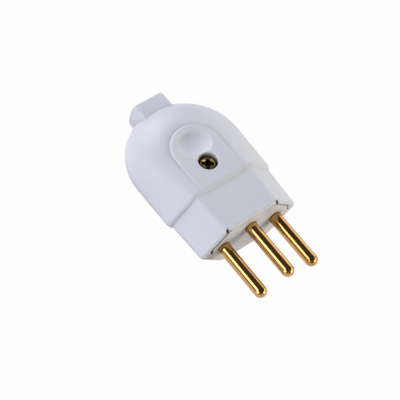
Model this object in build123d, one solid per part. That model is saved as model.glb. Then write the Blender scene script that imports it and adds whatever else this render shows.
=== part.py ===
from build123d import *
import math
import os

# Rewireable three-pin mains plug, lying on its flat underside as it would on a bench.
# Frame: the origin is on the engagement face, midway between the line and neutral pins.
# The pins point to -Y, the cord leaves to +Y, +Z is up through the cover screw.
# All sizes are in millimetres.

# Contact pins
PIN_D = 4.0                # bare shank that enters the socket
PIN_LENGTH = 19.5          # from the engagement face to the rounded tip
PIN_PITCH = 19.0           # line to neutral
EARTH_RISE = 3.0           # earth pin above the line and neutral pair
PIN_SHOULDER_D = 4.4       # wider part that fills the hole in the front plate
PIN_SHOULDER_SETBACK = 0.1
PIN_FLANGE_D = 7.2         # stops the pin behind the front plate
PIN_FLANGE_T = 1.5
PIN_HEAD_D = 6.4           # pillar terminal at the inner end
PIN_HEAD_END = 14.6        # from the engagement face
WIRE_BORE_D = 2.8
WIRE_BORE_DEPTH = 8.0

# Terminal screws
TERMINAL_SCREW_D = 3.0
TERMINAL_SCREW_Y = 10.2
TERMINAL_SCREW_PROUD = 0.4 # above the pillar
TERMINAL_SLOT_W = 0.6
TERMINAL_SLOT_DEPTH = 0.7

# Nose: the hexagonal part that enters the socket's recess
NOSE_FRONT_WIDTH = 34.7    # across the rounded points, at the engagement face
NOSE_FRONT_FLAT = 18.2     # width of the flat top before its edges are rounded
NOSE_REAR_FLAT = 20.0
NOSE_LENGTH = 13.1
NOSE_WALL = 0.9
NOSE_POINT_R = 1.2
NOSE_EDGE_R = 2.8
FRONT_EDGE_R = 0.8
PLATE_T = 3.0              # front plate that carries the pins
PLATE_GAP = 0.65           # slit between the plate and the cover's slanted walls
PLATE_SHIFT = 0.42         # plate off the middle, so that the slit on the line side is wider
PLATE_EDGE_R = 0.3
POINT_SOLID = 3.5          # cover's solid points on both sides of the plate
NOTCH_W = 0.9              # where a slit breaks through the top edge
NOTCH_DEPTH = 0.8
NOTCH_DROP = 1.2           # notch's lower end below the cover's ceiling

# Body: the grip behind the nose
BODY_FRONT_WIDTH = 37.9    # across the rounded points, at the shoulder
BODY_WIDTH = 37.6          # the same where the round rear end begins
BODY_FRONT_FLAT = 20.6     # width of the flat top at the shoulder
BODY_REAR_FLAT = 25.0
BODY_HEIGHT = 19.0
BODY_STRAIGHT_END = 30.8   # where the round rear end begins, from the engagement face
BODY_WALL = 1.8
SHOULDER_STEP = 1.0        # body outside the nose, at the points
SHOULDER_RISE = 0.6        # body above the nose
SHOULDER_R = 2.5
FRONT_SIDE_R = 1.8         # corner rounding of the body's section at the shoulder
FRONT_TOP_R = 4.5
REAR_SIDE_R = 6.0          # corner rounding where the rear end begins
REAR_TOP_R = 15.0
SECTION_COUNT = 4          # sections lofted between those two
PLANED = 0.05              # taken off below, so that the underside is truly flat

# Thumb pad on the cover
PAD_WIDTH = 16.4
PAD_RISE = 0.75            # above the body at the centre of its round end
PAD_FRONT_RISE = 0.12      # above the body at the shoulder
PAD_ARC_Y = 27.6           # centre of the pad's round end
PAD_EDGE_R = 0.9
DISH_RIM = 1.6             # rim left round the thumb hollow
DISH_DEPTH = 2.8           # of the flattened ball that hollows the pad
DISH_TILT = 14.0           # degrees, steep at the rear and running out towards the screw
DISH_EDGE_R = 1.3

# Cord neck at the rear
NECK_TOP_WIDTH = 10.2
NECK_WIDTH = 13.0
NECK_HEIGHT = 10.8
NECK_END = 52.2
NECK_SIDE_R = 1.4          # corners of the neck's section
NECK_EDGE_R = 0.5          # rim of its rear end
CORD_BORE_D = 8.0
COLLAR_START = 43.6        # inner end of the tube that guides the cord
COLLAR_WALL = 1.3

# Cover screw and nut
SCREW_Y = 22.0
SCREW_D = 3.0
SCREW_TIP = 0.7            # end of the screw above the underside
SCREW_HEAD_D = 5.2
SCREW_HEAD_H = 2.2
SCREW_HEAD_SUNK = 1.5      # head's top below the pad
SCREW_HEAD_R = 0.5         # rounding of the head's rim
SCREW_RECESS_W = 1.2       # arms of the cross recess
SCREW_RECESS_L = 3.9
SCREW_RECESS_DEPTH = 1.4
SCREW_WELL_D = 6.1
SCREW_WELL_FLARE = 0.35    # bevel round the well
BOSS_WALL = 1.6
NUT_WIDTH = 5.5
NUT_T = 1.8
NUT_SEAT = 3.0             # pocket's ceiling above the underside

# Cord clamp
CLAMP_Y = 38.0
CLAMP_DEPTH = 6.0
CLAMP_BITE = 0.4           # how much tighter than the bore the clamp holds the cord
CLAMP_ARCH_T = 1.6
CLAMP_FOOT_T = 2.6
CLAMP_FOOT_Z = -1.5        # underside of the feet
CLAMP_SCREW_X = 8.8
CLAMP_SCREW_D = 3.0
CLAMP_SCREW_LENGTH = 8.0
CLAMP_HEAD_D = 5.0
CLAMP_HEAD_H = 1.8
CLAMP_SLOT_W = 0.8
CLAMP_SLOT_DEPTH = 0.9

# Mouldings inside the two halves
RIB_T = 1.2
CRADLE_RIB_END = 13.0      # rear face of the second cradle rib
PARTITION_T = 1.0
PARTITION_TOP = 5.4
PARTITION_END = 16.0
LIP_HEIGHT = 1.0           # tongue of the base that locates the cover
SEAM_GAP = 0.14            # visible parting line
FIT = 0.05                 # clearance of a snug fit
LOOSE = 0.1                # clearance of a moulded seat

# Values worked out from the sizes above
SQRT2 = math.sqrt(2)
PIN_R = PIN_D / 2
HEAD_R = PIN_HEAD_D / 2
NOSE_REAR_WIDTH = BODY_FRONT_WIDTH - 2 * SHOULDER_STEP
NOSE_HEIGHT = BODY_HEIGHT - 2 * SHOULDER_RISE
NOSE_CEILING = NOSE_HEIGHT / 2 - NOSE_WALL
NOTCH_X = NOSE_FRONT_FLAT / 2
PLATE_HALF = NOSE_FRONT_WIDTH / 2 - POINT_SOLID
BODY_TOP = BODY_HEIGHT / 2
PAD_TOP = BODY_TOP + PAD_RISE
PAD_FALL = (PAD_RISE - PAD_FRONT_RISE) / (PAD_ARC_Y - NOSE_LENGTH)
PAD_SLOPE = math.degrees(math.atan(PAD_FALL))
SCREW_RIM = PAD_TOP - PAD_FALL * (PAD_ARC_Y - SCREW_Y)
UNDERSIDE = -BODY_TOP
SCREW_SEAT = SCREW_RIM - SCREW_HEAD_SUNK - SCREW_HEAD_H
HOLE_R = SCREW_D / 2 + LOOSE
BOSS_R = SCREW_WELL_D / 2 + BOSS_WALL
BORE_R = CORD_BORE_D / 2
GRIP_R = BORE_R - CLAMP_BITE
BIG = 200.0
PINS = {
    "line": (-PIN_PITCH / 2, 0.0),
    "neutral": (PIN_PITCH / 2, 0.0),
    "earth": (0.0, EARTH_RISE),
}


def across(y):
    """Plane square to the pins at a distance behind the engagement face."""
    return Plane(origin=(0, y, 0), x_dir=(1, 0, 0), z_dir=(0, -1, 0))


def slab(low, high):
    """Everything between two heights."""
    return Pos(0, 0, (low + high) / 2) * Box(BIG, BIG, high - low)


def rod(radius, start, end, x=0.0, z=0.0):
    """Round bar along the pins' direction."""
    return Pos(x, (start + end) / 2, z) * Rot(90, 0, 0) * Cylinder(radius, end - start)


def post(radius, low, high, x, y):
    """Upright round bar."""
    return Pos(x, y, (low + high) / 2) * Cylinder(radius, high - low)


def block(x0, x1, y0, y1, z0, z1):
    """Rectangular block between two corners."""
    return Pos((x0 + x1) / 2, (y0 + y1) / 2, (z0 + z1) / 2) * Box(x1 - x0, y1 - y0, z1 - z0)


def hexagon(width, height, flat, point_r, edge_r, inset=0.0):
    """Flat hexagon with slanted sides, every side moved inwards by the inset.

    The width is to the rounded points, the flat is the top side before rounding.
    """
    half_height = height / 2
    ratio = point_r / half_height
    rest = 1 - ratio * ratio
    flank = (width - flat) / 2 - point_r
    lean = (flank + ratio * math.sqrt(flank ** 2 + rest * half_height ** 2)) / rest / half_height
    top = half_height - inset
    apex = flat / 2 + lean * half_height - inset * math.hypot(1, lean)
    corner = apex - lean * top
    outline = Polygon(
        (apex, 0), (corner, top), (-corner, top), (-apex, 0), (-corner, -top), (corner, -top),
        align=None,
    )
    least = PLATE_EDGE_R + LOOSE
    half_turn = math.atan(1 / lean) / 2
    point_r = max(point_r - inset, least)
    room = math.hypot(top, apex - corner) - point_r * math.tan(math.pi / 2 - 2 * half_turn) - FIT
    edge_r = max(min(edge_r - inset, room / math.tan(half_turn)), least)
    points = [v for v in outline.vertices() if abs(v.Y) < FIT]
    outline = fillet(points, point_r)
    corners = [v for v in outline.vertices() if abs(abs(v.Y) - top) < FIT]
    return fillet(corners, edge_r)


def nose(start, end, inset=0.0):
    """Part of the hexagonal nose between two distances behind the engagement face."""
    sections = []
    for y in (0, NOSE_LENGTH + BODY_WALL * 2):
        share = y / NOSE_LENGTH
        width = NOSE_FRONT_WIDTH + (NOSE_REAR_WIDTH - NOSE_FRONT_WIDTH) * share
        flat = NOSE_FRONT_FLAT + (NOSE_REAR_FLAT - NOSE_FRONT_FLAT) * share
        sections.append(across(y) * hexagon(width, NOSE_HEIGHT, flat, NOSE_POINT_R, NOSE_EDGE_R, inset))
    return loft(sections) & block(-BIG, BIG, start, end, -BIG, BIG)


def body_section(share, inset):
    """Section of the body, from crisp at the shoulder (0) to round at the rear (1)."""
    ease = share * share * (3 - 2 * share)
    width = BODY_FRONT_WIDTH + (BODY_WIDTH - BODY_FRONT_WIDTH) * ease
    flat = BODY_FRONT_FLAT + (BODY_REAR_FLAT - BODY_FRONT_FLAT) * ease
    side_r = FRONT_SIDE_R + (REAR_SIDE_R - FRONT_SIDE_R) * ease
    top_r = FRONT_TOP_R + (REAR_TOP_R - FRONT_TOP_R) * ease
    return hexagon(width, BODY_HEIGHT + 2 * PLANED, flat, side_r, top_r, inset)


def body(inset=0.0):
    """Grip of the plug: lofted behind the shoulder, then a round end in plan."""
    start = NOSE_LENGTH + inset
    sections = []
    for index in range(SECTION_COUNT):
        share = index / (SECTION_COUNT - 1)
        y = start + (BODY_STRAIGHT_END - start) * share
        sections.append(across(y) * body_section(share, inset))
    front = loft(sections)
    if inset == 0:
        front = fillet(front.faces().sort_by(Axis.Y)[0].edges(), SHOULDER_R)
    half = body_section(1.0, inset) & Pos(BIG / 2, 0) * Rectangle(BIG, BIG)
    turned = revolve(across(BODY_STRAIGHT_END) * half, Axis((0, BODY_STRAIGHT_END, 0), (0, 0, 1)), 180)
    return front + turned


def thumb_pad():
    """Raised pad with a round rear end, falling to the shoulder, its top edge rounded."""
    front = block(-PAD_WIDTH / 2, PAD_WIDTH / 2, NOSE_LENGTH, PAD_ARC_Y, 0, 2 * PAD_TOP)
    pad = front + post(PAD_WIDTH / 2, 0, 2 * PAD_TOP, 0, PAD_ARC_Y)
    above = Pos(0, 0, BIG / 2) * Box(BIG, BIG, BIG)
    pad -= Pos(0, PAD_ARC_Y, PAD_TOP) * Rot(PAD_SLOPE, 0, 0) * above
    top_edges = pad.faces().sort_by(Axis.Z)[-1].edges().sort_by(Axis.Y)
    pad = fillet(top_edges[1:], PAD_EDGE_R)
    front_edge = pad.faces().filter_by(GeomType.PLANE).sort_by(Axis.Z)[-1].edges().sort_by(Axis.Y)[0]
    return fillet(front_edge, SHOULDER_R)


def dish():
    """Thumb hollow in the pad: a flattened ball, tipped so that it is steep at the rear."""
    reach = PAD_WIDTH / 2 - DISH_RIM
    lift = reach * math.sin(math.radians(DISH_TILT))
    ball = scale(Sphere(1), by=(reach, reach, DISH_DEPTH))
    return Pos(0, PAD_ARC_Y, PAD_TOP + lift) * Rot(PAD_SLOPE - DISH_TILT, 0, 0) * ball


def neck():
    """Tube that the cord leaves through, flat above and below with bulging sides."""
    top = NECK_TOP_WIDTH / 2
    side = NECK_WIDTH / 2
    height = NECK_HEIGHT / 2
    outline = Curve() + [
        Line((-top, height), (top, height)),
        ThreePointArc((top, height), (side, 0), (top, -height)),
        Line((top, -height), (-top, -height)),
        ThreePointArc((-top, -height), (-side, 0), (-top, height)),
    ]
    section = make_face(outline)
    section = fillet(section.vertices(), NECK_SIDE_R)
    tube = extrude(across(NECK_END) * section, NECK_END - COLLAR_START)
    return fillet(tube.faces().sort_by(Axis.Y)[-1].edges(), NECK_EDGE_R)


def pin(x, z):
    """Turned pin: rounded tip, bare shank, shoulder, flange and pillar terminal."""
    shoulder = PIN_SHOULDER_D / 2
    flange = PIN_FLANGE_D / 2
    tip = -PIN_LENGTH
    flange_end = PLATE_T + PIN_FLANGE_T
    bend = PIN_R / SQRT2
    outline = Curve() + [
        ThreePointArc((0, tip), (bend, tip + PIN_R - bend), (PIN_R, tip + PIN_R)),
        Polyline(
            (PIN_R, tip + PIN_R), (PIN_R, PIN_SHOULDER_SETBACK), (shoulder, PIN_SHOULDER_SETBACK),
            (shoulder, PLATE_T), (flange, PLATE_T), (flange, flange_end),
            (HEAD_R, flange_end), (HEAD_R, PIN_HEAD_END), (0, PIN_HEAD_END), (0, tip),
        ),
    ]
    turned = revolve(make_face(outline), Axis.Y)
    turned -= rod(WIRE_BORE_D / 2, PIN_HEAD_END - WIRE_BORE_DEPTH, PIN_HEAD_END)
    turned -= post(TERMINAL_SCREW_D / 2 + FIT / 2, 0, HEAD_R, 0, TERMINAL_SCREW_Y)
    return Pos(x, 0, z) * turned


def terminal_screw(x, z):
    """Headless slotted screw that clamps a wire in its pillar."""
    top = z + HEAD_R + TERMINAL_SCREW_PROUD
    slot_floor = top - TERMINAL_SLOT_DEPTH
    reach = TERMINAL_SCREW_D
    screw = post(TERMINAL_SCREW_D / 2 - FIT / 2, z, top, x, TERMINAL_SCREW_Y)
    screw -= block(
        x - reach, x + reach,
        TERMINAL_SCREW_Y - TERMINAL_SLOT_W / 2, TERMINAL_SCREW_Y + TERMINAL_SLOT_W / 2,
        slot_floor, top + reach,
    )
    return screw


def cover_screw():
    """Pan-head screw with a cross recess, sunk in the pad."""
    top = SCREW_SEAT + SCREW_HEAD_H
    head = post(SCREW_HEAD_D / 2, SCREW_SEAT, top, 0, SCREW_Y)
    head = fillet(head.edges().sort_by(Axis.Z)[-1], SCREW_HEAD_R)
    arm = SCREW_RECESS_L / 2
    half = SCREW_RECESS_W / 2
    floor = top - SCREW_RECESS_DEPTH
    head -= block(-arm, arm, SCREW_Y - half, SCREW_Y + half, floor, top + arm)
    head -= block(-half, half, SCREW_Y - arm, SCREW_Y + arm, floor, top + arm)
    return head + post(SCREW_D / 2, UNDERSIDE + SCREW_TIP, SCREW_SEAT, 0, SCREW_Y)


def cover_nut():
    """Square nut held in the pocket of the base."""
    ceiling = UNDERSIDE + NUT_SEAT
    half = NUT_WIDTH / 2
    nut = block(-half, half, SCREW_Y - half, SCREW_Y + half, ceiling - NUT_T, ceiling)
    return nut - post(SCREW_D / 2 + FIT / 2, ceiling - NUT_T, ceiling, 0, SCREW_Y)


def clamp_saddle():
    """Arched bar that holds the cord down on its bed."""
    arch_r = GRIP_R + CLAMP_ARCH_T
    foot_end = CLAMP_SCREW_X + CLAMP_HEAD_D / 2
    foot_top = CLAMP_FOOT_Z + CLAMP_FOOT_T
    start = CLAMP_Y - CLAMP_DEPTH / 2
    end = CLAMP_Y + CLAMP_DEPTH / 2
    saddle = rod(arch_r, start, end) & slab(CLAMP_FOOT_Z, BIG)
    saddle += block(-foot_end, foot_end, start, end, CLAMP_FOOT_Z, foot_top)
    saddle -= rod(GRIP_R, start, end)
    for side in (-1, 1):
        saddle -= post(CLAMP_SCREW_D / 2 + LOOSE, CLAMP_FOOT_Z, foot_top, side * CLAMP_SCREW_X, CLAMP_Y)
    return saddle


def clamp_screw(side):
    """Slotted pan-head screw through one foot of the clamp."""
    x = side * CLAMP_SCREW_X
    seat = CLAMP_FOOT_Z + CLAMP_FOOT_T
    top = seat + CLAMP_HEAD_H
    reach = CLAMP_HEAD_D
    head = post(CLAMP_HEAD_D / 2, seat, top, x, CLAMP_Y)
    head = fillet(head.edges().sort_by(Axis.Z)[-1], CLAMP_HEAD_H / 3)
    head -= block(
        x - reach, x + reach, CLAMP_Y - CLAMP_SLOT_W / 2, CLAMP_Y + CLAMP_SLOT_W / 2,
        top - CLAMP_SLOT_DEPTH, top + reach,
    )
    return head + post(CLAMP_SCREW_D / 2 - FIT / 2, seat - CLAMP_SCREW_LENGTH, seat, x, CLAMP_Y)


def outside():
    """Outer form of the closed plug, without its openings."""
    front = nose(0, NOSE_LENGTH + BODY_WALL)
    front = fillet(front.faces().sort_by(Axis.Y)[0].edges(), FRONT_EDGE_R)
    form = body() + front + neck()
    form += thumb_pad()
    form -= dish()
    hollow_face = form.faces().sort_by_distance((0, PAD_ARC_Y, PAD_TOP - DISH_DEPTH / 2))[0]
    form = fillet(hollow_face.edges(), DISH_EDGE_R)
    return form & slab(UNDERSIDE, BIG)


def hollow():
    """Space inside the closed plug."""
    return nose(0, NOSE_LENGTH + 2 * BODY_WALL, NOSE_WALL) + body(BODY_WALL)


def top_cover(form, space):
    """Upper half: thumb pad, screw well, boss and the ribs that hold the pins down."""
    shell = (form - space) & slab(SEAM_GAP / 2, BIG)
    collar = rod(BORE_R + COLLAR_WALL, COLLAR_START, NECK_END - NECK_EDGE_R) & slab(SEAM_GAP / 2, BIG)
    inside = post(BOSS_R, 0, BODY_TOP, 0, SCREW_Y) + collar
    slit_end = PLATE_HALF + PLATE_GAP
    inside += block(-BIG, -slit_end, 0, PLATE_T, SEAM_GAP / 2, BIG)
    inside += block(slit_end, BIG, 0, PLATE_T, SEAM_GAP / 2, BIG)
    for x, z in PINS.values():
        inside += block(
            x - HEAD_R, x + HEAD_R, PLATE_T + PIN_FLANGE_T + LOOSE,
            PLATE_T + PIN_FLANGE_T + LOOSE + RIB_T, z + HEAD_R + LOOSE, BODY_TOP,
        )
    cover = shell + (inside & form)
    groove = body(BODY_WALL / 2) & slab(0, LIP_HEIGHT + LOOSE)
    cover -= groove - body(BODY_WALL + LOOSE)
    cover -= rod(BORE_R, COLLAR_START, BIG)
    cover -= post(HOLE_R, -LOOSE, BIG, 0, SCREW_Y)
    cover -= post(SCREW_WELL_D / 2, SCREW_SEAT, BIG, 0, SCREW_Y)
    flare = Cone(SCREW_WELL_D / 2, SCREW_WELL_D / 2 + 2 * SCREW_WELL_FLARE, 2 * SCREW_WELL_FLARE)
    cover -= Pos(0, SCREW_Y, SCREW_RIM) * flare
    for x in (-NOTCH_X, NOTCH_X):
        cover -= block(
            x - NOTCH_W / 2, x + NOTCH_W / 2, -NOTCH_DEPTH, NOTCH_DEPTH, NOSE_CEILING - NOTCH_DROP, BIG,
        )
    return cover


def base_half(form, space):
    """Lower half: front plate, cradles for the pins, nut pocket and the cord's bed."""
    shell = (form - space) & slab(-BIG, -SEAM_GAP / 2)
    tall_plate = nose(0, PLATE_T, NOSE_WALL + PLATE_GAP)
    tall_plate &= block(-PLATE_HALF, PLATE_HALF, 0, PLATE_T, -BIG, BIG)
    tall_plate = fillet(tall_plate.faces().sort_by(Axis.Y)[0].edges(), PLATE_EDGE_R)
    tall_plate = Pos(PLATE_SHIFT, 0, 0) * tall_plate
    snug_half = (NOSE_FRONT_FLAT - NOSE_EDGE_R) / 2
    tall_plate += block(-snug_half, snug_half, 0, PLATE_T, 0, NOSE_CEILING - FIT)
    low_plate = form & block(-BIG, BIG, -PLATE_T, PLATE_T, -BIG, -SEAM_GAP / 2)
    tongue = (body(BODY_WALL / 2 + LOOSE) & slab(-BODY_WALL, LIP_HEIGHT)) - body(BODY_WALL)
    bed_half = GRIP_R + RIB_T
    inside = post(BOSS_R, UNDERSIDE, 0, 0, SCREW_Y)
    inside += rod(BORE_R + COLLAR_WALL, COLLAR_START, NECK_END - NECK_EDGE_R) & slab(-BIG, -SEAM_GAP / 2)
    for side in (-1, 1):
        partition_x = side * PIN_PITCH / 4
        inside += block(
            partition_x - PARTITION_T / 2, partition_x + PARTITION_T / 2,
            PLATE_T / 2, PARTITION_END, UNDERSIDE, PARTITION_TOP,
        )
        inside += post(CLAMP_HEAD_D / 2 + LOOSE, UNDERSIDE, CLAMP_FOOT_Z, side * CLAMP_SCREW_X, CLAMP_Y)
        rib_y = CLAMP_Y + side * CLAMP_DEPTH / 4
        inside += block(-bed_half, bed_half, rib_y - RIB_T / 2, rib_y + RIB_T / 2, UNDERSIDE, -GRIP_R / 2)
    first = PLATE_T + PIN_FLANGE_T + LOOSE
    for start in (first, CRADLE_RIB_END - RIB_T):
        end = start + RIB_T
        inside += block(-BIG, BIG, start, end, UNDERSIDE, -LOOSE)
        inside += block(-PIN_PITCH / 4, PIN_PITCH / 4, start, end, UNDERSIDE, EARTH_RISE - LOOSE)
    base = shell + low_plate + tall_plate + tongue + (inside & form)
    for x, z in PINS.values():
        base -= rod(PIN_SHOULDER_D / 2 + FIT, -PLATE_T, PLATE_T, x, z)
        base -= rod(HEAD_R + FIT, first, PARTITION_END, x, z)
    base -= rod(GRIP_R, CLAMP_Y - CLAMP_DEPTH, COLLAR_START)
    base -= rod(BORE_R, COLLAR_START, BIG)
    base -= post(HOLE_R, -BIG, LOOSE, 0, SCREW_Y)
    pocket = NUT_WIDTH / 2 + LOOSE
    base -= block(
        -pocket, pocket, SCREW_Y - pocket, SCREW_Y + pocket,
        -BIG, UNDERSIDE + NUT_SEAT,
    )
    for side in (-1, 1):
        depth = CLAMP_FOOT_Z + CLAMP_FOOT_T - CLAMP_SCREW_LENGTH - LOOSE
        base -= post(CLAMP_SCREW_D / 2, depth, BIG, side * CLAMP_SCREW_X, CLAMP_Y)
    return base


FORM = outside()
SPACE = hollow()
NODES = {
    "top_cover": top_cover(FORM, SPACE),
    "base_half": base_half(FORM, SPACE),
    "cover_screw": cover_screw(),
    "cover_nut": cover_nut(),
    "cord_clamp": clamp_saddle(),
    "clamp_screw_left": clamp_screw(-1),
    "clamp_screw_right": clamp_screw(1),
}
for name, (pin_x, pin_z) in PINS.items():
    NODES[name + "_pin"] = pin(pin_x, pin_z)
    NODES[name + "_terminal_screw"] = terminal_screw(pin_x, pin_z)

os.makedirs("parts", exist_ok=True)
for node, solid in NODES.items():
    export_step(solid, "parts/" + node + ".step")
    print(node, len(solid.solids()), solid.is_valid, round(solid.volume, 1))
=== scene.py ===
# %% [markdown]
# # A rewireable mains plug
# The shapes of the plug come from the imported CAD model, which is loaded as a fixed frame.
# This lesson dresses that frame: it gives every moulding and every turned part its finish,
# replaces the plain screws by threaded ones, and sets up the studio that the plug lies in.

# %% Load the frame
import bpy
import bmesh
import math
from mathutils import Matrix, Vector


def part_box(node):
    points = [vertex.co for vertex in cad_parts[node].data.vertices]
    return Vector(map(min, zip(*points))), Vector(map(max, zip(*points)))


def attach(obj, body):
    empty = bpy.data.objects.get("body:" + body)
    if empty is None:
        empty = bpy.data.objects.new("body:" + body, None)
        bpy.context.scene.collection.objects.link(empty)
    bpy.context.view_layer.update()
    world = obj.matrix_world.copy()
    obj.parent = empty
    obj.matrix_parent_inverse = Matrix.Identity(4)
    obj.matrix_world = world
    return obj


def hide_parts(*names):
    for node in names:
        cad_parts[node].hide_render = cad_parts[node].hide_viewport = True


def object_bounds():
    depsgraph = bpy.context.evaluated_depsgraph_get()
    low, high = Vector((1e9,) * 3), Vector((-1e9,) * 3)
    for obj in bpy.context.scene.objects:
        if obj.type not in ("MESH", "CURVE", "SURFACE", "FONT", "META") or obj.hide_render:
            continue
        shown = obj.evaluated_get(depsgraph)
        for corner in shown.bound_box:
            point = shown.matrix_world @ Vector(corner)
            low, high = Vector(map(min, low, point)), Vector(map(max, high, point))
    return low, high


for name in ("Cube", "Light", "Camera"):
    starter = bpy.data.objects.get(name)
    if starter:
        bpy.data.objects.remove(starter)
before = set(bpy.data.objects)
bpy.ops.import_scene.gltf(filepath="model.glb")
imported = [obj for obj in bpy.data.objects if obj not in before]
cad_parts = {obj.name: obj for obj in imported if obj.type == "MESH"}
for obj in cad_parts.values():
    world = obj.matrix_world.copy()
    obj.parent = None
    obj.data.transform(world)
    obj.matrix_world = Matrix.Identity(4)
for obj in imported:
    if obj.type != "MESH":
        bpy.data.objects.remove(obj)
CAD_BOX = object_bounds()
MM = 0.001
scene = bpy.context.scene
scene.view_settings.view_transform = "Standard"
print("nodes:", ", ".join(sorted(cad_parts)))

# %% [markdown]
# ## Camera
# The picture was taken from in front of the pins, to their left and well above, with the
# camera turned a little about its own axis. A long lens from under half a metre gives the
# same slight convergence of the pins. The three axes of the camera are worked out from those
# angles and put straight into its matrix, which is easier to check than a chain of rotations.

# %% Camera
VIEW_AZIMUTH = math.radians(-46.58)
VIEW_ELEVATION = math.radians(57.41)
VIEW_ROLL = math.radians(11.61)
VIEW_DISTANCE = 450 * MM
VIEW_OFFSET = Vector((-14.48 * MM, 9.30 * MM))
SENSOR_WIDTH = 36.0
FOCAL_PIXELS = 1531.7
FRAME_PIXELS = 400
NEAREST_SEEN = 10 * MM


def place_camera():
    """Adds the camera at the picture's angle and makes it the scene's camera."""
    back = Vector((
        math.sin(VIEW_AZIMUTH) * math.cos(VIEW_ELEVATION),
        -math.cos(VIEW_AZIMUTH) * math.cos(VIEW_ELEVATION),
        math.sin(VIEW_ELEVATION),
    ))
    level = Vector((math.cos(VIEW_AZIMUTH), math.sin(VIEW_AZIMUTH), 0))
    upright = back.cross(level)
    right = level * math.cos(VIEW_ROLL) + upright * math.sin(VIEW_ROLL)
    up = upright * math.cos(VIEW_ROLL) - level * math.sin(VIEW_ROLL)
    place = back * VIEW_DISTANCE + right * VIEW_OFFSET.x + up * VIEW_OFFSET.y
    data = bpy.data.cameras.new("studio_camera")
    data.sensor_width = SENSOR_WIDTH
    data.lens = FOCAL_PIXELS * SENSOR_WIDTH / FRAME_PIXELS
    data.clip_start = NEAREST_SEEN
    camera = bpy.data.objects.new("studio_camera", data)
    turn = Matrix((right, up, back)).transposed()
    camera.matrix_world = Matrix.Translation(place) @ turn.to_4x4()
    scene.collection.objects.link(camera)
    scene.camera = camera
    return camera


camera = place_camera()
print("camera lens", round(camera.data.lens, 1), "mm")
print("camera at", tuple(round(v, 3) for v in camera.location))

# %% [markdown]
# ## Node helpers
# Materials and node groups are built from the same few moves: add a node and set its inputs,
# do a sum, mix two colours, open a group with named sockets. Written out for every node, they
# would hide what a finish is made of, so four small helpers keep the cells below short.

# %% Node helpers
FLOAT = "NodeSocketFloat"
COLOR = "NodeSocketColor"
VECTOR = "NodeSocketVector"
GEOMETRY = "NodeSocketGeometry"
MIX_A, MIX_B, MIX_RESULT = 6, 7, 2  # the sockets for colours on a Mix node


def add_node(tree, kind, **inputs):
    """Adds a node and sets its inputs by name, with spaces written as underscores."""
    node = tree.nodes.new(kind)
    for key, value in inputs.items():
        node.inputs[key.replace("_", " ")].default_value = value
    return node


def math_node(tree, operation, first, second):
    """Adds a Math node; each operand is a number or a socket. Returns its output."""
    node = tree.nodes.new("ShaderNodeMath")
    node.operation = operation
    for socket, operand in zip(node.inputs, (first, second)):
        if isinstance(operand, (int, float)):
            socket.default_value = operand
        else:
            tree.links.new(operand, socket)
    return node.outputs[0]


def mix_colors(tree, factor, first, second):
    """Adds a Mix node; each colour is a tuple or a socket. Returns its output."""
    node = tree.nodes.new("ShaderNodeMix")
    node.data_type = "RGBA"
    tree.links.new(factor, node.inputs["Factor"])
    for index, color in ((MIX_A, first), (MIX_B, second)):
        if isinstance(color, tuple):
            node.inputs[index].default_value = color
        else:
            tree.links.new(color, node.inputs[index])
    return node.outputs[MIX_RESULT]


def new_group(name, kind, sockets_in, sockets_out):
    """Starts a node group with named inputs (name, type, default) and outputs (name, type)."""
    group = bpy.data.node_groups.new(name, kind)
    for label, socket_type, default in sockets_in:
        socket = group.interface.new_socket(label, in_out="INPUT", socket_type=socket_type)
        if default is not None:
            socket.default_value = default
    for label, socket_type in sockets_out:
        group.interface.new_socket(label, in_out="OUTPUT", socket_type=socket_type)
    inside = group.nodes.new("NodeGroupInput")
    outside = group.nodes.new("NodeGroupOutput")
    return group, inside, outside


print("socket types:", FLOAT, COLOR, VECTOR, GEOMETRY)

# %% [markdown]
# ## Moulded grain
# The plug's plastic is moulded in a steel tool whose walls were spark eroded, so the surface
# is satin: very fine bumps that soften the highlight, with slow waves from shrinkage under
# them. An image could give this, but noise at two scales keeps its size on every piece and
# from every side. The group puts out a colour, a roughness and a height; the shader itself
# stays in the material.

# %% Moulded grain group
WAVE_HEIGHT = 2.0  # the slow waves, as a multiple of the grain's height


def build_moulded_grain():
    """Group for moulded plastic: tint that drifts slowly, satin roughness, fine height."""
    group, inside, outside = new_group(
        "moulded_grain", "ShaderNodeTree",
        [("Tint", COLOR, (0.8, 0.8, 0.8, 1)), ("Shade", COLOR, (0.7, 0.7, 0.7, 1)),
         ("Drift Size", FLOAT, 60.0), ("Grain Size", FLOAT, 4000.0),
         ("Roughness Low", FLOAT, 0.3), ("Roughness High", FLOAT, 0.5)],
        [("Color", COLOR), ("Roughness", FLOAT), ("Height", FLOAT)],
    )
    link = group.links.new
    place = group.nodes.new("ShaderNodeTexCoord").outputs["Object"]
    drift = add_node(group, "ShaderNodeTexNoise", Detail=2.0, Roughness=0.5)
    grain = add_node(group, "ShaderNodeTexNoise", Detail=3.0, Roughness=0.6)
    link(place, drift.inputs["Vector"])
    link(place, grain.inputs["Vector"])
    link(inside.outputs["Drift Size"], drift.inputs["Scale"])
    link(inside.outputs["Grain Size"], grain.inputs["Scale"])
    color = mix_colors(
        group, drift.outputs["Fac"], inside.outputs["Shade"], inside.outputs["Tint"])
    satin = add_node(group, "ShaderNodeMapRange", From_Min=0.3, From_Max=0.7)
    link(grain.outputs["Fac"], satin.inputs["Value"])
    link(inside.outputs["Roughness Low"], satin.inputs["To Min"])
    link(inside.outputs["Roughness High"], satin.inputs["To Max"])
    waves = math_node(group, "MULTIPLY", drift.outputs["Fac"], WAVE_HEIGHT)
    height = math_node(group, "ADD", grain.outputs["Fac"], waves)
    link(color, outside.inputs["Color"])
    link(satin.outputs["Result"], outside.inputs["Roughness"])
    link(height, outside.inputs["Height"])
    return group


MOULDED_GRAIN = build_moulded_grain()
print("group", MOULDED_GRAIN.name, [s.name for s in MOULDED_GRAIN.interface.items_tree])

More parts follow.
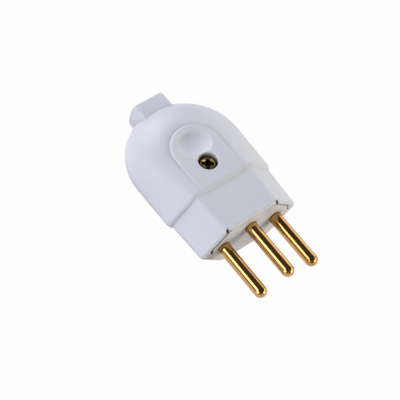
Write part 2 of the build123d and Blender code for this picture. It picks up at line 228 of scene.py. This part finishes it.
# %% [markdown]
# ## Turned metal
# Pins and screws are turned on a lathe, then polished or plated. The cutter leaves rings round
# the axis, and handling leaves a slow change from bright to dull. Both could be drawn on an
# unwrapped surface, but noise needs no unwrapping: stretched across the axis it gives rings,
# and a second, slow noise gives the tarnish. One group serves brass, yellow zinc and steel,
# each with its own colours.


# %% Turned metal group
def build_turned_metal():
    """Group for turned metal: colour from bright to dull, roughness, height of the rings."""
    group, inside, outside = new_group(
        "turned_metal", "ShaderNodeTree",
        [("Bright", COLOR, (0.8, 0.8, 0.8, 1)), ("Dull", COLOR, (0.5, 0.5, 0.5, 1)),
         ("Stretch", VECTOR, (1.0, 1.0, 1.0)), ("Ring Size", FLOAT, 2000.0),
         ("Tarnish Size", FLOAT, 150.0),
         ("Roughness Low", FLOAT, 0.1), ("Roughness High", FLOAT, 0.3)],
        [("Color", COLOR), ("Roughness", FLOAT), ("Height", FLOAT)],
    )
    link = group.links.new
    place = group.nodes.new("ShaderNodeTexCoord").outputs["Object"]
    squeeze = group.nodes.new("ShaderNodeVectorMath")
    squeeze.operation = "MULTIPLY"
    link(place, squeeze.inputs[0])
    link(inside.outputs["Stretch"], squeeze.inputs[1])
    rings = add_node(group, "ShaderNodeTexNoise", Detail=2.0, Roughness=0.55)
    link(squeeze.outputs[0], rings.inputs["Vector"])
    link(inside.outputs["Ring Size"], rings.inputs["Scale"])
    tarnish = add_node(group, "ShaderNodeTexNoise", Detail=4.0, Roughness=0.6)
    link(place, tarnish.inputs["Vector"])
    link(inside.outputs["Tarnish Size"], tarnish.inputs["Scale"])
    dull = add_node(group, "ShaderNodeMapRange", From_Min=0.45, From_Max=0.75)
    link(tarnish.outputs["Fac"], dull.inputs["Value"])
    color = mix_colors(
        group, dull.outputs["Result"], inside.outputs["Bright"], inside.outputs["Dull"])
    share = math_node(group, "MULTIPLY", rings.outputs["Fac"], tarnish.outputs["Fac"])
    polish = add_node(group, "ShaderNodeMapRange", From_Min=0.1, From_Max=0.5)
    link(share, polish.inputs["Value"])
    link(inside.outputs["Roughness Low"], polish.inputs["To Min"])
    link(inside.outputs["Roughness High"], polish.inputs["To Max"])
    link(color, outside.inputs["Color"])
    link(polish.outputs["Result"], outside.inputs["Roughness"])
    link(rings.outputs["Fac"], outside.inputs["Height"])
    return group


TURNED_METAL = build_turned_metal()
print("group", TURNED_METAL.name, [s.name for s in TURNED_METAL.interface.items_tree])

# %% [markdown]
# ## Painted shade in the joints
# The two mouldings meet in narrow slits, the pad stands up from the cover, and the screw lies
# in a well. Little light gets into such corners, and their shade is painted into the colour.
# Dark lines could be painted along each edge, but an Ambient Occlusion node finds the corners
# by itself: it measures how closed in a place is within about two millimetres. So one group
# paints shade into every corner and leaves the open faces alone.

# %% Joint shade group
SHADE_SAMPLES = 8


def build_joint_shade():
    """Mask for painted shade: how closed in a place is, from 0 in the open to 1 in a joint."""
    group, inside, outside = new_group(
        "painted_joint_shade", "ShaderNodeTree",
        [("Reach", FLOAT, 0.001), ("Open", FLOAT, 0.93), ("Closed", FLOAT, 0.42)],
        [("Mask", FLOAT)],
    )
    link = group.links.new
    # how closed in a place is, measured here, is painted into the colour as shade
    hidden = group.nodes.new("ShaderNodeAmbientOcclusion")
    hidden.samples = SHADE_SAMPLES
    link(inside.outputs["Reach"], hidden.inputs["Distance"])
    painted_shade_mask = add_node(group, "ShaderNodeMapRange", To_Min=0.0, To_Max=1.0)
    link(hidden.outputs["AO"], painted_shade_mask.inputs["Value"])
    link(inside.outputs["Open"], painted_shade_mask.inputs["From Min"])
    link(inside.outputs["Closed"], painted_shade_mask.inputs["From Max"])
    link(painted_shade_mask.outputs["Result"], outside.inputs["Mask"])
    return group


PAINTED_JOINT_SHADE = build_joint_shade()
print("group", PAINTED_JOINT_SHADE.name, [s.name for s in PAINTED_JOINT_SHADE.interface.items_tree])

# %% [markdown]
# ## How a finish is put together
# Each finish is one Principled shader fed by one of the groups above, with painted shade in the
# joints mixed over its colour where a piece needs it. What is the same all over a piece, such
# as how metallic it is, is set on the shader itself, where an export can read it. Colours are
# written as they look under plain white light.


# %% Finish maker
def linear(red, green, blue):
    """Colour of a swatch, given as the 0-255 values of a picture, in linear values."""
    def channel(value):
        value /= 255
        return value / 12.92 if value <= 0.04045 else ((value + 0.055) / 1.055) ** 2.4
    return (channel(red), channel(green), channel(blue), 1.0)


def place_group(tree, group, values):
    """Puts a node group into a material and sets its inputs by name."""
    node = tree.nodes.new("ShaderNodeGroup")
    node.node_tree = group
    for key, value in values.items():
        node.inputs[key].default_value = value
    return node


def finish(name, group, values, metallic, bump_strength, bump_depth,
           joint=None, painted_shade_color=None, **shader):
    """Material: one Principled shader fed by a finish group, a bump and painted joint shade."""
    material = bpy.data.materials.new(name)
    material.use_nodes = True
    tree = material.node_tree
    principled = tree.nodes["Principled BSDF"]
    principled.inputs["Metallic"].default_value = metallic
    for key, value in shader.items():
        principled.inputs[key.replace("_", " ")].default_value = value
    surface = place_group(tree, group, values)
    bump = add_node(tree, "ShaderNodeBump", Strength=bump_strength, Distance=bump_depth)
    tree.links.new(surface.outputs["Height"], bump.inputs["Height"])
    color = surface.outputs["Color"]
    # painted shade: where the group finds a corner, the colour is mixed towards a dark one
    if joint:
        shade = place_group(tree, PAINTED_JOINT_SHADE, joint)
        color = mix_colors(tree, shade.outputs["Mask"], color, painted_shade_color)
    tree.links.new(color, principled.inputs["Base Color"])
    tree.links.new(surface.outputs["Roughness"], principled.inputs["Roughness"])
    tree.links.new(bump.outputs["Normal"], principled.inputs["Normal"])
    return material


FINISHES = {}
print("middle grey in linear values:", round(linear(128, 128, 128)[0], 3))

# %% [markdown]
# ## Plastic finishes
# Both half shells are the same cool white plastic, satin from the tool. The cord clamp inside
# is a greyer moulding with a coarser grain. They could be one material, but then the clamp
# would look like a part of the shell. Of the two, only the shells get painted shade in the
# joints, because their slits and the foot of the pad are what is seen.

# %% Plastic finishes
PLASTIC_IOR = 1.5
FINISHES["housing"] = finish(
    "cool_white_plastic", MOULDED_GRAIN,
    {"Tint": linear(214, 219, 234), "Shade": linear(209, 214, 228), "Drift Size": 45.0,
     "Grain Size": 5200.0, "Roughness Low": 0.36, "Roughness High": 0.5},
    metallic=0.0, bump_strength=0.12, bump_depth=0.02 * MM, IOR=PLASTIC_IOR,
    # painted shade: the slits, the foot of the pad and the screw's well are darkened in the
    # colour
    joint={"Reach": 2.4 * MM, "Open": 0.96, "Closed": 0.34},
    painted_shade_color=linear(146, 138, 122),
)
FINISHES["clamp"] = finish(
    "grey_clamp_plastic", MOULDED_GRAIN,
    {"Tint": linear(206, 206, 204), "Shade": linear(192, 192, 190), "Drift Size": 90.0,
     "Grain Size": 3800.0, "Roughness Low": 0.42, "Roughness High": 0.58},
    metallic=0.0, bump_strength=0.2, bump_depth=0.02 * MM, IOR=PLASTIC_IOR,
)
print("plastic finishes:", ", ".join(FINISHES))

# %% [markdown]
# ## Metal finishes
# The pins are polished brass and mirror the studio, so their rings are kept very shallow. The
# cover screw is yellow zinc, rougher, with painted shade deep in its recess. The hidden screws
# and the nut are plain zinc. The rings have to run round each piece: the pins lie along Y and
# the screws stand along Z, so the noise is stretched in the two other directions.

# %% Metal finishes
ALONG_PINS = (0.02, 1.0, 0.02)
ALONG_SCREWS = (0.02, 0.02, 1.0)
FINISHES["pin_brass"] = finish(
    "polished_brass", TURNED_METAL,
    {"Bright": linear(199, 156, 99), "Dull": linear(179, 134, 79), "Stretch": ALONG_PINS,
     "Ring Size": 9000.0, "Tarnish Size": 140.0,
     "Roughness Low": 0.09, "Roughness High": 0.14},
    metallic=1.0, bump_strength=0.004, bump_depth=0.001 * MM,
)
FINISHES["cover_screw"] = finish(
    "yellow_zinc", TURNED_METAL,
    {"Bright": linear(232, 212, 140), "Dull": linear(196, 172, 100), "Stretch": ALONG_SCREWS,
     "Ring Size": 3000.0, "Tarnish Size": 500.0,
     "Roughness Low": 0.2, "Roughness High": 0.36},
    metallic=1.0, bump_strength=0.1, bump_depth=0.01 * MM,
    # painted shade: the recess and the gap round the head are darkened in the colour
    joint={"Reach": 1.5 * MM, "Open": 0.84, "Closed": 0.6},
    painted_shade_color=linear(58, 48, 40),
)
FINISHES["small_steel"] = finish(
    "zinc_plated_steel", TURNED_METAL,
    {"Bright": linear(206, 208, 210), "Dull": linear(160, 162, 164), "Stretch": ALONG_SCREWS,
     "Ring Size": 3000.0, "Tarnish Size": 500.0,
     "Roughness Low": 0.22, "Roughness High": 0.4},
    metallic=1.0, bump_strength=0.1, bump_depth=0.01 * MM,
)
print("all finishes:", ", ".join(FINISHES))

# %% [markdown]
# ## Dressing the CAD pieces
# The shells, pins, nut and clamp have their true shape in the CAD model already. Modelling
# them again could only make them less exact, so they keep their meshes and get a finish.

# %% Dress the CAD pieces
NODE_FINISH = {
    "top_cover": "housing", "base_half": "housing", "cord_clamp": "clamp",
    "line_pin": "pin_brass", "neutral_pin": "pin_brass", "earth_pin": "pin_brass",
    "cover_nut": "small_steel",
}
for node_name, finish_name in NODE_FINISH.items():
    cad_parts[node_name].data.materials[0] = FINISHES[finish_name]
print("finished nodes:", len(NODE_FINISH))

# %% [markdown]
# ## Screw blanks
# A screw starts as a turned blank: head, shank and a bevelled end, all round one axis. Stacked
# cylinders would leave hard steps, so half of its outline is drawn as points and spun into a
# solid, as on a lathe. A point on the axis becomes a single vertex, which closes the end.

# %% Screw blanks
SPIN_STEPS = 48


def as_object(name, mesh):
    """Object at the origin that carries a mesh, linked into the scene."""
    piece = bpy.data.objects.new(name, mesh)
    scene.collection.objects.link(piece)
    return piece


def solid_object(name, shape):
    """Object made of a closed bmesh, with its faces turned outwards."""
    bmesh.ops.recalc_face_normals(shape, faces=shape.faces)
    mesh = bpy.data.meshes.new(name)
    shape.to_mesh(mesh)
    shape.free()
    return as_object(name, mesh)


def turned_blank(name, outline, axis):
    """Solid spun round an upright axis from (radius, height) points in millimetres."""
    shape = bmesh.new()
    rings = []
    for radius, height in outline:
        ring = []
        for step in range(SPIN_STEPS if radius else 1):
            angle = 2 * math.pi * step / SPIN_STEPS
            ring.append(shape.verts.new((
                (axis[0] + radius * math.cos(angle)) * MM,
                (axis[1] + radius * math.sin(angle)) * MM,
                height * MM,
            )))
        rings.append(ring)
    for lower, upper in zip(rings, rings[1:]):
        for step in range(SPIN_STEPS):
            after = (step + 1) % SPIN_STEPS
            corners = [lower[step % len(lower)], lower[after % len(lower)],
                       upper[after % len(upper)], upper[step % len(upper)]]
            shape.faces.new(list(dict.fromkeys(corners)))
    return solid_object(name, shape)


print("a blank has", SPIN_STEPS, "steps round its axis")

# %% [markdown]
# ## Driver recesses
# The slot or cross in a head is struck with a punch that narrows towards its tip. A dark decal
# would look flat from close by, so a bar of the punch's shape is taken out of the blank with a
# Boolean. A cross is two such bars, with a third, deeper one in the middle.

# %% Driver recesses
SQUARE = ((-1, -1), (1, -1), (1, 1), (-1, 1))
CROSS_TURN = math.radians(55)
# A recess is a row of bars: length, width and depth in millimetres, taper, angle.
CROSS = (
    (4.0, 1.3, 1.4, 0.65, CROSS_TURN),
    (4.0, 1.3, 1.4, 0.65, CROSS_TURN + math.pi / 2),
    (2.2, 2.2, 2.0, 0.55, CROSS_TURN + math.pi / 4),
)
CLAMP_SLOT = ((6.0, 0.8, 0.9, 1.0, math.radians(35)),)
GRUB_SLOT = ((4.0, 0.6, 0.7, 1.0, math.radians(-20)),)


def tapered_bar(axis, top, length, width, depth, taper, angle):
    """Cutter for a driver recess: narrows downwards, in width half as much as in length."""
    shape = bmesh.new()
    rings = []
    turn = Matrix.Rotation(angle, 2)
    for height, share in ((top + depth, 2 - taper), (top - depth, taper)):
        half_x = length / 2 * share
        half_y = width / 2 * (0.5 + share / 2)
        ring = []
        for x, y in SQUARE:
            corner = Vector(axis) + turn @ Vector((x * half_x, y * half_y))
            ring.append(shape.verts.new((corner.x * MM, corner.y * MM, height * MM)))
        rings.append(ring)
    upper, lower = rings
    shape.faces.new(upper)
    shape.faces.new(lower)
    for step in range(len(SQUARE)):
        after = (step + 1) % len(SQUARE)
        shape.faces.new((upper[step], upper[after], lower[after], lower[step]))
    return solid_object("recess_cutter", shape)


def bake(piece, modifier):
    """Applies the piece's one modifier, so that it is a plain mesh again."""
    graph = bpy.context.evaluated_depsgraph_get()
    mesh = bpy.data.meshes.new_from_object(piece.evaluated_get(graph))
    piece.modifiers.remove(modifier)
    piece.data = mesh


def cut(piece, cutter):
    """Takes the cutter out of the piece with a Boolean, and removes the cutter."""
    modifier = piece.modifiers.new("recess", "BOOLEAN")
    modifier.operation = "DIFFERENCE"
    modifier.solver = "EXACT"
    modifier.object = cutter
    bake(piece, modifier)
    bpy.data.objects.remove(cutter)


print("bars in a cross:", len(CROSS), "- in a slot:", len(CLAMP_SLOT))

# %% [markdown]
# ## Thread path
# A thread is a ridge that climbs round the shank, so it follows a path. A bump pattern would
# be quicker, but the outline of the screw would stay smooth. The path is a helix, and the
# radius of its points fades in over the first turn and out over the last, as a thread does
# where the die starts and stops.

# %% Thread path
TURN_STEPS = 20


def thread_path(tree, inside):
    """Helix round the shank, with a point radius of 0 at both ends and 1 in between."""
    link = tree.links.new
    turns = math_node(tree, "DIVIDE", inside.outputs["Length"], inside.outputs["Pitch"])
    helix = add_node(tree, "GeometryNodeCurveSpiral", Resolution=TURN_STEPS)
    link(turns, helix.inputs["Rotations"])
    link(inside.outputs["Core Radius"], helix.inputs["Start Radius"])
    link(inside.outputs["Core Radius"], helix.inputs["End Radius"])
    link(inside.outputs["Length"], helix.inputs["Height"])
    upright = tree.nodes.new("GeometryNodeSetCurveNormal")
    upright.mode = "Z_UP"
    link(helix.outputs["Curve"], upright.inputs["Curve"])
    along = tree.nodes.new("GeometryNodeSplineParameter")
    rise = math_node(tree, "MULTIPLY", along.outputs["Factor"], turns)
    fall = math_node(tree, "SUBTRACT", turns, rise)
    fade = math_node(tree, "MINIMUM", math_node(tree, "MINIMUM", rise, fall), 1.0)
    sized = tree.nodes.new("GeometryNodeSetCurveRadius")
    link(upright.outputs["Curve"], sized.inputs["Curve"])
    link(fade, sized.inputs["Radius"])
    return sized.outputs["Curve"]


print("steps in one turn of a thread:", TURN_STEPS)

# %% [markdown]
# ## Thread tree
# The tree sweeps a small ridge along the path and adds it to the blank. The ridge could be
# modelled once for each screw, but as a tree with its sizes as inputs it winds all six. Its
# ends are capped, so that the ridge is a closed solid too.

# %% Thread tree
FOOT_SHARE = 0.45  # half the width of the ridge's foot, as a share of the pitch


def build_thread_tree():
    """Tree that winds a ridge round the shank of a screw blank."""
    tree, inside, outside = new_group(
        "thread_ridge", "GeometryNodeTree",
        [("Geometry", GEOMETRY, None), ("Core Radius", FLOAT, 0.0012),
         ("Ridge", FLOAT, 0.0003), ("Pitch", FLOAT, 0.0005), ("Length", FLOAT, 0.01),
         ("Start", VECTOR, (0.0, 0.0, 0.0)), ("Finish", "NodeSocketMaterial", None)],
        [("Geometry", GEOMETRY)],
    )
    link = tree.links.new
    path = thread_path(tree, inside)
    profile = tree.nodes.new("GeometryNodeCurvePrimitiveQuadrilateral")
    profile.mode = "KITE"
    half_foot = math_node(tree, "MULTIPLY", inside.outputs["Pitch"], FOOT_SHARE)
    both_sides = math_node(tree, "MULTIPLY", inside.outputs["Ridge"], 2.0)
    link(half_foot, profile.inputs["Top Height"])
    link(half_foot, profile.inputs["Bottom Height"])
    link(both_sides, profile.inputs["Width"])
    swept = add_node(tree, "GeometryNodeCurveToMesh", Fill_Caps=True)
    link(path, swept.inputs["Curve"])
    link(profile.outputs["Curve"], swept.inputs["Profile Curve"])
    placed = tree.nodes.new("GeometryNodeTransform")
    link(swept.outputs["Mesh"], placed.inputs["Geometry"])
    link(inside.outputs["Start"], placed.inputs["Translation"])
    joined = tree.nodes.new("GeometryNodeJoinGeometry")
    link(inside.outputs["Geometry"], joined.inputs["Geometry"])
    link(placed.outputs["Geometry"], joined.inputs["Geometry"])
    real = tree.nodes.new("GeometryNodeRealizeInstances")
    link(joined.outputs["Geometry"], real.inputs["Geometry"])
    painted = tree.nodes.new("GeometryNodeSetMaterial")
    link(real.outputs["Geometry"], painted.inputs["Geometry"])
    link(inside.outputs["Finish"], painted.inputs["Material"])
    link(painted.outputs["Geometry"], outside.inputs["Geometry"])
    return tree


THREAD_TREE = build_thread_tree()
print("tree", THREAD_TREE.name, "with", len(THREAD_TREE.nodes), "nodes")

# %% [markdown]
# ## Winding a thread
# All six screws have the same shank and thread. The tree runs as a modifier on the blank, and
# its result is baked, because a finished screw has to be one plain mesh. Smooth shading with
# sharp edges above a small angle keeps the head round and the thread crisp.

# %% Wind a thread
CORE_R = 1.2  # millimetres, as are the ridge and the pitch
RIDGE = 0.26
PITCH = 0.5
SHARP_ANGLE = math.radians(32)


def wind_thread(piece, axis, start, end, material):
    """Adds the thread to a blank with the thread tree and bakes it to a plain mesh."""
    modifier = piece.modifiers.new("thread", "NODES")
    modifier.node_group = THREAD_TREE
    values = {
        "Core Radius": CORE_R * MM, "Ridge": RIDGE * MM, "Pitch": PITCH * MM,
        "Length": (end - start) * MM, "Start": (axis[0] * MM, axis[1] * MM, start * MM),
        "Finish": material,
    }
    for socket in THREAD_TREE.interface.items_tree:
        if socket.in_out == "INPUT" and socket.name in values:
            modifier[socket.identifier] = values[socket.name]
    bake(piece, modifier)
    piece.data.shade_smooth()
    piece.data.set_sharp_from_angle(angle=SHARP_ANGLE)


print("thread", round(2 * (CORE_R + RIDGE), 2), "mm across, pitch", PITCH, "mm")

# %% [markdown]
# ## Screw heads
# A pan head has an upright rim that rolls over into a slight dome, so a part of it can lean
# towards a lamp and glint. A flat disc would be bright or dark all over. The outline is given
# in shares of the head's radius and height, so that one list serves both sizes.

# %% Screw heads
HEAD_FOOT = [(0.96, 0.0), (1.0, 0.06)]
HEAD_RIM = [(1.0, 0.6), (0.985, 0.7), (0.95, 0.77)]
DOME_STEPS = (0.9, 0.8, 0.7, 0.6, 0.5, 0.4, 0.3, 0.2, 0.1, 0.0)
DOME_HEIGHT = 0.2


def pan_head(radius, height, seat):
    """Outline of a domed screw head, from its seat over the rim to the middle of its top."""
    dome = [(across, 1 - DOME_HEIGHT * across**2) for across in DOME_STEPS]
    shares = HEAD_FOOT + HEAD_RIM + dome
    return [(radius * across, seat + height * up) for across, up in shares]


print("points in the outline of a head:", len(pan_head(1.0, 1.0, 0.0)))

# %% [markdown]
# ## From blank to screw
# A screw takes its place and its height from the CAD screw that it stands for, so it moves
# with the model if a size changes. Numbers for its place would be shorter, but would be wrong
# after the next change. The blank is spun first, then its recess is cut, then the thread is
# wound on.

# %% Screw maker
BEVEL = 0.35  # height of the bevel at an end of the shank, in millimetres
END_SHARE = 0.72  # radius of the lower end, as a share of the shank's
GRUB_TOP_SHARE = 0.8  # the same for the top of a screw with no head
RUN_OUT = 0.3  # plain shank beyond each end of the thread, in millimetres


def screw_place(node):
    """Axis (x, y), lower end and top of a CAD screw, in millimetres."""
    low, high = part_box(node)
    axis = ((low[0] + high[0]) / 2 / MM, (low[1] + high[1]) / 2 / MM)
    return axis, low[2] / MM, high[2] / MM


def make_screw(node, slot, head_height, head_radius, recess):
    """Threaded screw in the place of a CAD screw, with a recess given as a row of bars."""
    axis, bottom, top = screw_place(node)
    seat = top - head_height
    outline = [(0.0, bottom), (CORE_R * END_SHARE, bottom),
               (CORE_R, bottom + BEVEL), (CORE_R, seat - BEVEL)]
    if head_height:
        outline += [(CORE_R + RIDGE, seat)] + pan_head(head_radius, head_height, seat)
    else:
        outline += [(CORE_R * GRUB_TOP_SHARE, seat), (0.0, seat)]
    piece = turned_blank("threaded_" + node, outline, axis)
    for bar in recess:
        cut(piece, tapered_bar(axis, top, *bar))
    wind_thread(piece, axis, bottom + RUN_OUT, seat - RUN_OUT, FINISHES[slot])
    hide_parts(node)
    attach(piece, "root")
    print(piece.name, len(piece.data.polygons), "faces")


print("cover screw, axis, lower end and top:", screw_place("cover_screw"))

# %% [markdown]
# ## The six screws
# The cover screw has a pan head with a cross recess; it shows in its well on the thumb pad.
# Inside, two slotted screws hold the cord clamp and three headless ones grip the wires in the
# pins. Those five could stay plain, since the closed plug hides them, but they would look
# unfinished in a view of the plug with its cover off.

# %% Threaded screws
COVER_HEAD = (2.2, 2.6)  # height and radius in millimetres
CLAMP_HEAD = (1.8, 2.5)
NO_HEAD = (0.0, 0.0)
make_screw("cover_screw", "cover_screw", *COVER_HEAD, CROSS)
for side in ("left", "right"):
    make_screw("clamp_screw_" + side, "small_steel", *CLAMP_HEAD, CLAMP_SLOT)
for wire in ("line", "neutral", "earth"):
    make_screw(wire + "_terminal_screw", "small_steel", *NO_HEAD, GRUB_SLOT)

# %% [markdown]
# ## Floor
# The plug lies on pale paper, which looks almost white to the camera and in the shiny pins.
# Strong lamps could make it white, but they would wash out the plug. Light Path is used
# instead: rays from the camera and from reflections see a white glow, and all other light
# meets a dimmer, warm paper. A small share of the paper stays visible and takes a faint shadow.

# %% Floor
FLOOR_REACH = 3.0  # metres from the middle to each side
FLOOR_DROP = 0.02 * MM
FLOOR_WHITE = 0.98  # share of the glow; the rest is the paper with its shadow
PAPER_COLOR = (0.32, 0.3, 0.26, 1)
PAPER_ROUGHNESS = 0.9


def floor_paper():
    """Material that is almost white to the camera and in reflections, and dim to the lamps."""
    material = bpy.data.materials.new("floor_paper")
    material.use_nodes = True
    tree = material.node_tree
    paper = tree.nodes["Principled BSDF"]
    paper.inputs["Base Color"].default_value = PAPER_COLOR
    paper.inputs["Roughness"].default_value = PAPER_ROUGHNESS
    glow = add_node(tree, "ShaderNodeEmission", Color=(1, 1, 1, 1), Strength=1.0)
    rays = tree.nodes.new("ShaderNodeLightPath").outputs
    seen = math_node(tree, "MAXIMUM", rays["Is Camera Ray"], rays["Is Glossy Ray"])
    seen = math_node(tree, "MAXIMUM", seen, rays["Is Transmission Ray"])
    mix = tree.nodes.new("ShaderNodeMixShader")
    tree.links.new(math_node(tree, "MULTIPLY", seen, FLOOR_WHITE), mix.inputs[0])
    tree.links.new(paper.outputs[0], mix.inputs[1])
    tree.links.new(glow.outputs[0], mix.inputs[2])
    tree.links.new(mix.outputs[0], tree.nodes["Material Output"].inputs["Surface"])
    return material


def studio_floor():
    """Large floor just under the plug."""
    low = CAD_BOX[0][2] - FLOOR_DROP
    corners = [(x * FLOOR_REACH, y * FLOOR_REACH, low) for x, y in SQUARE]
    mesh = bpy.data.meshes.new("floor")
    mesh.from_pydata(corners, [], [(0, 1, 2, 3)])
    mesh.materials.append(floor_paper())
    floor = as_object("floor", mesh)
    print("floor at", round(low / MM, 2), "mm")


studio_floor()

# %% [markdown]
# ## Room
# The pins mirror the room. In an evenly white one they would look flat, so the walls are dim
# and the ceiling is darker still: where a pin mirrors the ceiling it has its dark band. The
# camera itself sees white, as it does on the floor.

# %% Room
WALLS = 0.26
CEILING = 0.08
WALLS_END = 0.25  # heights on a sphere round the room, from 0 at the horizon to 1
CEILING_STARTS = 0.85


def bright_room():
    """World that is white to the camera, dim at the walls and darker at the ceiling."""
    world = bpy.data.worlds.new("bright_room")
    scene.world = world
    world.use_nodes = True
    tree = world.node_tree
    background = tree.nodes["Background"]
    direction = tree.nodes.new("ShaderNodeTexCoord").outputs["Generated"]
    split = tree.nodes.new("ShaderNodeSeparateXYZ")
    tree.links.new(direction, split.inputs[0])
    level = add_node(tree, "ShaderNodeMapRange", From_Min=WALLS_END, From_Max=CEILING_STARTS,
                     To_Min=WALLS, To_Max=CEILING)
    level.interpolation_type = "SMOOTHSTEP"
    tree.links.new(split.outputs["Z"], level.inputs["Value"])
    rays = tree.nodes.new("ShaderNodeLightPath").outputs
    strength = math_node(tree, "MAXIMUM", rays["Is Camera Ray"], level.outputs["Result"])
    tree.links.new(strength, background.inputs["Strength"])
    background.inputs["Color"].default_value = (1, 1, 1, 1)
    print("room", world.name, "with walls", WALLS, "and ceiling", CEILING)


bright_room()

# %% [markdown]
# ## Lamps
# In the picture the slanted sides of the plug are brighter than its top. A lamp above would
# turn that round, so soft square lamps stand round the plug and none hangs over it. From this
# camera the sides of the pins mirror only what stands behind them: the softboxes and the card
# are there, and shape the highlights. The three fills stand further forward, where they light
# the plug but don't show in the sides of the pins. The one in front is warm.

# %% Lamps
LAMP_AIM = Vector((0, 15 * MM, 0))
WHITE = (1.0, 1.0, 1.0)
LAMPS = (  # name, place and size in metres, power in watts, colour
    ("left_softbox", (-0.42, 0.24, 0.37), 0.30, 1.02, WHITE),
    ("left_fill", (-0.54, -0.04, 0.20), 0.30, 1.35, WHITE),
    ("rear_softbox", (0.05, 0.55, 0.30), 0.35, 1.8, WHITE),
    ("right_card", (0.55, 0.20, 0.20), 0.42, 0.85, WHITE),
    ("right_fill", (0.46, -0.22, 0.18), 0.30, 0.6, (1.0, 0.97, 0.92)),
    ("front_fill", (0.30, -0.56, 0.11), 0.32, 2.4, (1.0, 0.85, 0.62)),
)


def soft_lamp(name, place, size, power, color):
    """Square area lamp that points at the middle of the plug."""
    data = bpy.data.lights.new(name, "AREA")
    data.size = size
    data.energy = power
    data.color = color
    lamp = bpy.data.objects.new(name, data)
    lamp.location = place
    aim = LAMP_AIM - Vector(place)
    lamp.rotation_euler = aim.to_track_quat("-Z", "Y").to_euler()
    scene.collection.objects.link(lamp)
    return lamp


studio_lamps = [soft_lamp(*lamp) for lamp in LAMPS]
print("lamps:", [lamp.name for lamp in studio_lamps])

# %% [markdown]
# ## Finish
# The box of the CAD model is printed, in millimetres.

# %% Sizes and finish
print("cad box", [round(v / MM, 2) for c in CAD_BOX for v in c])
